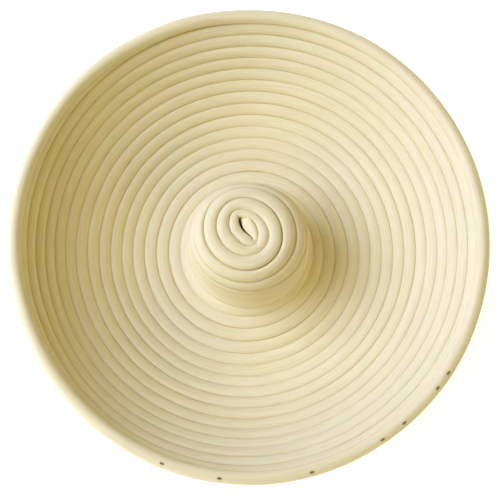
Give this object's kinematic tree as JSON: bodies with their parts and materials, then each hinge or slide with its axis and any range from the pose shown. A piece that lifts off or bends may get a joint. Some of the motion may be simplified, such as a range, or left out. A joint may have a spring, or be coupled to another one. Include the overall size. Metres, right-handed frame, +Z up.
{
  "type": "bread proofing basket",
  "caption": "Ring-shaped bread proofing basket coiled from round rattan cane, with a raised knob in the middle and a cane hoop for its rim.",
  "frame": {"origin": "centre of the basket's outline, on the surface that it stands on", "axes": "+Z up, out of the open side; +X and +Y lie on the table, and the coil runs clockwise outwards seen from above"},
  "size_m": [0.2962, 0.3004, 0.071],
  "materials": {
    "rattan": "peeled natural rattan core, dry and slightly fibrous",
    "steel_wire": "dull flattened wire"
  },
  "bodies": {
    "root": {"heart_cane": "rattan", "knob_cane_upper": "rattan", "knob_cane_lower": "rattan", "floor_cane_inner": "rattan", "floor_cane_middle": "rattan", "floor_cane_outer": "rattan", "wall_cane_foot": "rattan", "wall_cane_lower": "rattan", "wall_cane_middle": "rattan", "wall_cane_upper": "rattan", "wall_cane_last": "rattan", "rim_hoop": "rattan", "staple_01": "steel_wire", "staple_02": "steel_wire", "staple_03": "steel_wire", "staple_04": "steel_wire", "staple_05": "steel_wire", "staple_06": "steel_wire", "staple_07": "steel_wire", "staple_08": "steel_wire", "staple_09": "steel_wire", "staple_10": "steel_wire", "staple_11": "steel_wire", "staple_12": "steel_wire", "staple_13": "steel_wire", "staple_14": "steel_wire", "staple_15": "steel_wire", "staple_16": "steel_wire", "staple_17": "steel_wire", "staple_18": "steel_wire", "staple_19": "steel_wire", "staple_20": "steel_wire", "brad_01": "steel_wire", "brad_02": "steel_wire", "brad_03": "steel_wire", "brad_04": "steel_wire", "brad_05": "steel_wire", "brad_06": "steel_wire", "brad_07": "steel_wire", "brad_08": "steel_wire", "brad_09": "steel_wire", "brad_10": "steel_wire", "brad_11": "steel_wire", "brad_12": "steel_wire", "brad_13": "steel_wire", "brad_14": "steel_wire", "brad_15": "steel_wire", "brad_16": "steel_wire", "brad_17": "steel_wire", "brad_18": "steel_wire", "brad_19": "steel_wire"}
  },
  "joints": []
}
